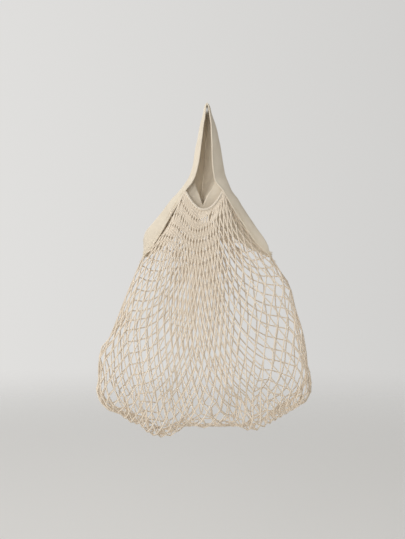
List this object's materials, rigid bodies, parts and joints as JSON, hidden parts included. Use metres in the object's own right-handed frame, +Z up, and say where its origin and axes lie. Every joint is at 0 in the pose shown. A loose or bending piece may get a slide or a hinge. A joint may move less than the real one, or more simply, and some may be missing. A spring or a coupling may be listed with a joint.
{
  "type": "mesh produce bag",
  "caption": "String shopping bag of knotless cotton net with a rolled hem round its mouth and one woven strap, shaped as it hangs full from a hook.",
  "frame": {"origin": "hang point: where the hook touches the inside of the strap's bend", "axes": "+X to the right seen from the front, +Y away from the viewer towards the wall, +Z up"},
  "size_m": [0.3123, 0.1193, 0.4896],
  "materials": {
    "woven_strap": "undyed cotton webbing in a fine plain weave",
    "rolled_hem": "undyed cotton tape rolled and sewn over the net's cut edge",
    "net_cord": "undyed twisted cotton cord, matt",
    "seam_cord": "undyed cotton net edges whipped together",
    "sewing_thread": "undyed cotton sewing thread"
  },
  "bodies": {
    "handle": {"handle_strap": "woven_strap"},
    "pouch": {"side_band_left": "woven_strap", "side_band_right": "woven_strap", "hem_front": "rolled_hem", "hem_back": "rolled_hem", "net_front": "net_cord", "net_back": "net_cord", "side_seam_left": "seam_cord", "side_seam_right": "seam_cord", "bottom_seam": "seam_cord", "band_stitching_left": "sewing_thread", "band_stitching_right": "sewing_thread", "ear_tack_left": "sewing_thread", "ear_tack_right": "sewing_thread"}
  },
  "joints": [
    {"name": "handle_fold", "type": "hinge", "parent": "handle", "child": "pouch", "pos_m": [0, 0, -0.112], "axis": [1, 0, 0], "range_deg": [-60, 60]}
  ]
}
